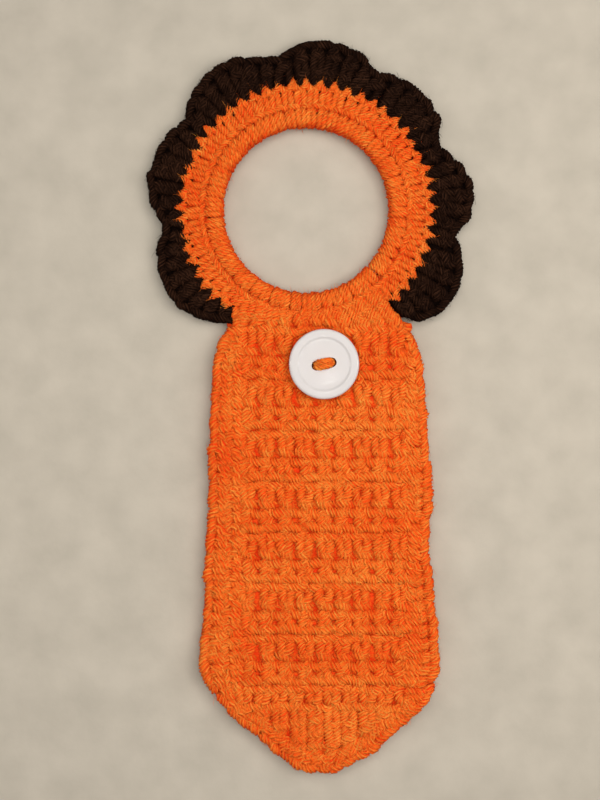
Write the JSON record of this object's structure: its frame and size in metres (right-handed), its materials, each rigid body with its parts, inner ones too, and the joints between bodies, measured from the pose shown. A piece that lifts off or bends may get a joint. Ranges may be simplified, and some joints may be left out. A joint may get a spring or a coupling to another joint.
{
  "type": "crocheted towel holder",
  "caption": "Crocheted towel holder with a covered ring for the towel, a scalloped border, and a strap that folds over a rail and closes on a sewn button.",
  "frame": {"origin": "middle of the footprint, on the surface the part lies on (its back face)", "axes": "+Z out of the front, the side with the button; +Y from the pointed tip towards the ring; +X to the right seen from the front"},
  "size_m": [0.1312, 0.293, 0.0123],
  "materials": {
    "main_yarn": "matte",
    "border_yarn": "matte",
    "sewing_yarn": "matte",
    "button": "gloss",
    "ring_plastic": "satin"
  },
  "bodies": {
    "strap_base": {"strap_row_02": "main_yarn", "strap_row_03": "main_yarn", "strap_row_04": "main_yarn", "strap_row_05": "main_yarn", "strap_row_06": "main_yarn", "strap_row_07": "main_yarn", "strap_edge_left_base": "main_yarn", "strap_edge_right_base": "main_yarn"},
    "ring": {"ring_core": "ring_plastic", "ring_cover_round_1": "main_yarn", "ring_cover_round_2": "main_yarn", "strap_row_01": "main_yarn"},
    "fold_1": {"strap_row_08": "main_yarn", "strap_edge_left_08": "main_yarn", "strap_edge_right_08": "main_yarn"},
    "fold_2": {"strap_row_09": "main_yarn", "strap_edge_left_09": "main_yarn", "strap_edge_right_09": "main_yarn"},
    "fold_3": {"strap_row_10": "main_yarn", "strap_edge_left_10": "main_yarn", "strap_edge_right_10": "main_yarn"},
    "fold_4": {"strap_row_11": "main_yarn", "strap_edge_left_11": "main_yarn", "strap_edge_right_11": "main_yarn"},
    "fold_5": {"strap_row_12": "main_yarn", "strap_edge_left_12": "main_yarn", "strap_edge_right_12": "main_yarn"},
    "fold_6": {"strap_row_13": "main_yarn", "strap_row_14": "main_yarn", "strap_row_15": "main_yarn", "strap_edge_left_13_15": "main_yarn", "strap_edge_right_13_15": "main_yarn"},
    "tip": {"tip_edge": "main_yarn", "tip_stitches_left": "main_yarn", "tip_stitches_right": "main_yarn"},
    "button_shank": {"button_shank": "sewing_yarn"},
    "button": {"button": "button", "button_yarn": "sewing_yarn"},
    "scallop_1": {"scallop_1": "border_yarn"},
    "scallop_2": {"scallop_2": "border_yarn"},
    "scallop_3": {"scallop_3": "border_yarn"},
    "scallop_4": {"scallop_4": "border_yarn"},
    "scallop_5": {"scallop_5": "border_yarn"},
    "scallop_6": {"scallop_6": "border_yarn"},
    "scallop_7": {"scallop_7": "border_yarn"}
  },
  "joints": [
    {"name": "ring_tilt", "type": "hinge", "parent": "strap_base", "child": "ring", "pos_m": [0.00331, 0.03094, 0.003], "axis": [1, 0, 0], "range_deg": [-75, 35]},
    {"name": "strap_fold_1", "type": "hinge", "parent": "strap_base", "child": "fold_1", "pos_m": [0.00551, -0.03159, 0.003], "axis": [-1, 0, 0], "range_deg": [-12, 36]},
    {"name": "strap_fold_2", "type": "hinge", "parent": "fold_1", "child": "fold_2", "pos_m": [0.00551, -0.04174, 0.003], "axis": [-1, 0, 0], "range_deg": [-12, 36]},
    {"name": "strap_fold_3", "type": "hinge", "parent": "fold_2", "child": "fold_3", "pos_m": [0.00551, -0.0519, 0.003], "axis": [-1, 0, 0], "range_deg": [-12, 36]},
    {"name": "strap_fold_4", "type": "hinge", "parent": "fold_3", "child": "fold_4", "pos_m": [0.00551, -0.06207, 0.003], "axis": [-1, 0, 0], "range_deg": [-12, 36]},
    {"name": "strap_fold_5", "type": "hinge", "parent": "fold_4", "child": "fold_5", "pos_m": [0.00551, -0.07222, 0.003], "axis": [-1, 0, 0], "range_deg": [-12, 36]},
    {"name": "strap_fold_6", "type": "hinge", "parent": "fold_5", "child": "fold_6", "pos_m": [0.00551, -0.08238, 0.003], "axis": [-1, 0, 0], "range_deg": [-12, 36]},
    {"name": "tip_bend", "type": "hinge", "parent": "fold_6", "child": "tip", "pos_m": [0.00541, -0.11286, 0.003], "axis": [1, 0, 0], "range_deg": [-12, 36]},
    {"name": "button_rock", "type": "hinge", "parent": "strap_base", "child": "button_shank", "pos_m": [0.00541, 0.01654, 0.0063], "axis": [1, 0, 0], "range_deg": [-3.5, 3.5], "stiffness_Nm_per_rad": 0.004},
    {"name": "button_turn", "type": "hinge", "parent": "button_shank", "child": "button", "pos_m": [0.00541, 0.01654, 0.0073], "axis": [0, 0, 1], "range_deg": [-25, 25], "stiffness_Nm_per_rad": 0.001},
    {"name": "scallop_1_flex", "type": "hinge", "parent": "ring", "child": "scallop_1", "pos_m": [-0.04105, 0.05445, 0.003], "axis": [-0.5188, 0.8549, 0], "range_deg": [-30, 30], "stiffness_Nm_per_rad": 0.002},
    {"name": "scallop_2_flex", "type": "hinge", "parent": "ring", "child": "scallop_2", "pos_m": [-0.04718, 0.0901, 0.003], "axis": [0.2504, 0.9681, 0], "range_deg": [-30, 30], "stiffness_Nm_per_rad": 0.002},
    {"name": "scallop_3_flex", "type": "hinge", "parent": "ring", "child": "scallop_3", "pos_m": [-0.02737, 0.11787, 0.003], "axis": [0.8387, 0.5446, 0], "range_deg": [-30, 30], "stiffness_Nm_per_rad": 0.002},
    {"name": "scallop_4_flex", "type": "hinge", "parent": "ring", "child": "scallop_4", "pos_m": [0.00452, 0.12553, 0.003], "axis": [0.9914, -0.1305, 0], "range_deg": [-30, 30], "stiffness_Nm_per_rad": 0.002},
    {"name": "scallop_5_flex", "type": "hinge", "parent": "ring", "child": "scallop_5", "pos_m": [0.03247, 0.1119, 0.003], "axis": [0.7009, -0.7133, 0], "range_deg": [-30, 30], "stiffness_Nm_per_rad": 0.002},
    {"name": "scallop_6_flex", "type": "hinge", "parent": "ring", "child": "scallop_6", "pos_m": [0.04594, 0.08545, 0.003], "axis": [0.1478, -0.989, 0], "range_deg": [-30, 30], "stiffness_Nm_per_rad": 0.002},
    {"name": "scallop_7_flex", "type": "hinge", "parent": "ring", "child": "scallop_7", "pos_m": [0.03982, 0.05533, 0.003], "axis": [-0.4848, -0.8746, 0], "range_deg": [-30, 30], "stiffness_Nm_per_rad": 0.002}
  ]
}
